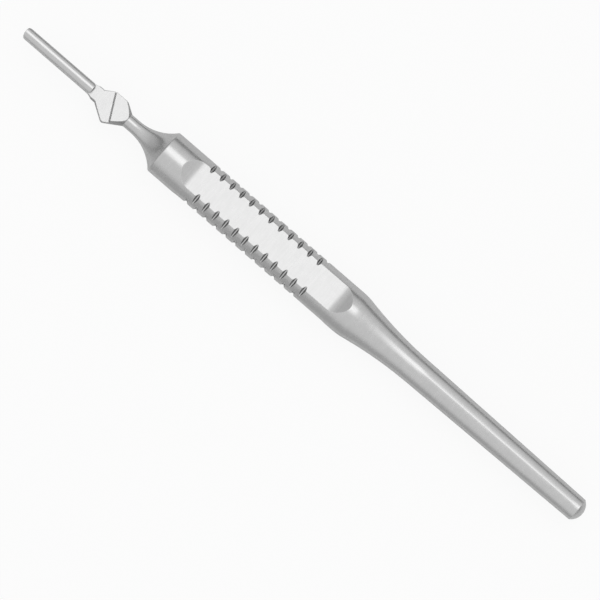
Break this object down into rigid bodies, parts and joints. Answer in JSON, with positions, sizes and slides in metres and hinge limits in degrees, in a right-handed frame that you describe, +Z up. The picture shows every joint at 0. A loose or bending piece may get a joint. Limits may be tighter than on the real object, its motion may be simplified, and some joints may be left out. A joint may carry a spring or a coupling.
{
  "type": "scalpel handle",
  "caption": "Round steel scalpel handle with a fitting for detachable blades, a waisted neck, a grip with notched finger flats and a slim tapering tail.",
  "frame": {"origin": "on the surface the handle lies on, under the middle of its length and under its axis", "axes": "+X along the handle's axis from the blade fitting to the tail, +Z up, the way the blade seat faces"},
  "size_m": [0.14, 0.0094, 0.0094],
  "materials": {
    "steel": "fine satin"
  },
  "bodies": {
    "root": {"scalpel_handle": "steel"}
  },
  "joints": []
}
